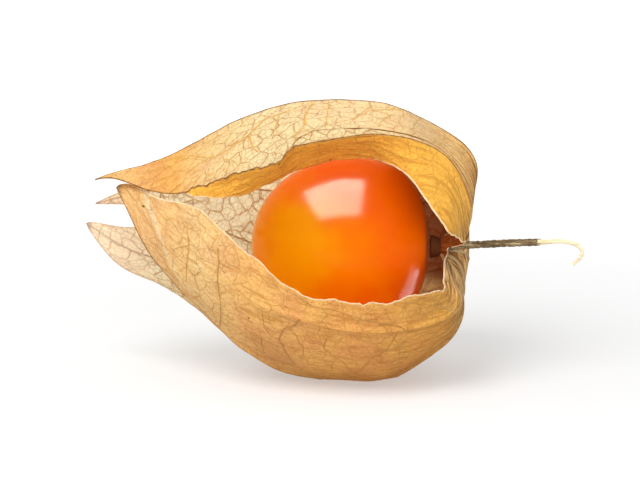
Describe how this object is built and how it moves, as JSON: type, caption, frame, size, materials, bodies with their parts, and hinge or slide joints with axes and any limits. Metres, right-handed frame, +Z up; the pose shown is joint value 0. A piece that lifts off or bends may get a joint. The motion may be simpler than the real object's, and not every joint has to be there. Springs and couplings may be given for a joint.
{
  "type": "physalis berry in its husk",
  "caption": "Round orange cape gooseberry lying in its dry papery husk, torn open on one side to show the berry, with a short curled stalk",
  "frame": {"origin": "middle of the flat spot under the husk that the fruit rests on", "axes": "+X runs along the fruit from the husk's tips to the stalk, +Y points away from the torn side, +Z is up"},
  "size_m": [0.0571, 0.0323, 0.0317],
  "materials": {
    "berry_skin": "smooth glossy fruit skin",
    "dry_husk": "matt, thin and translucent, with a net of veins",
    "dry_stalk": "matt dry bark, bare and cream towards the tip"
  },
  "bodies": {
    "root": {"berry": "berry_skin", "husk": "dry_husk", "stalk": "dry_stalk"}
  },
  "joints": []
}
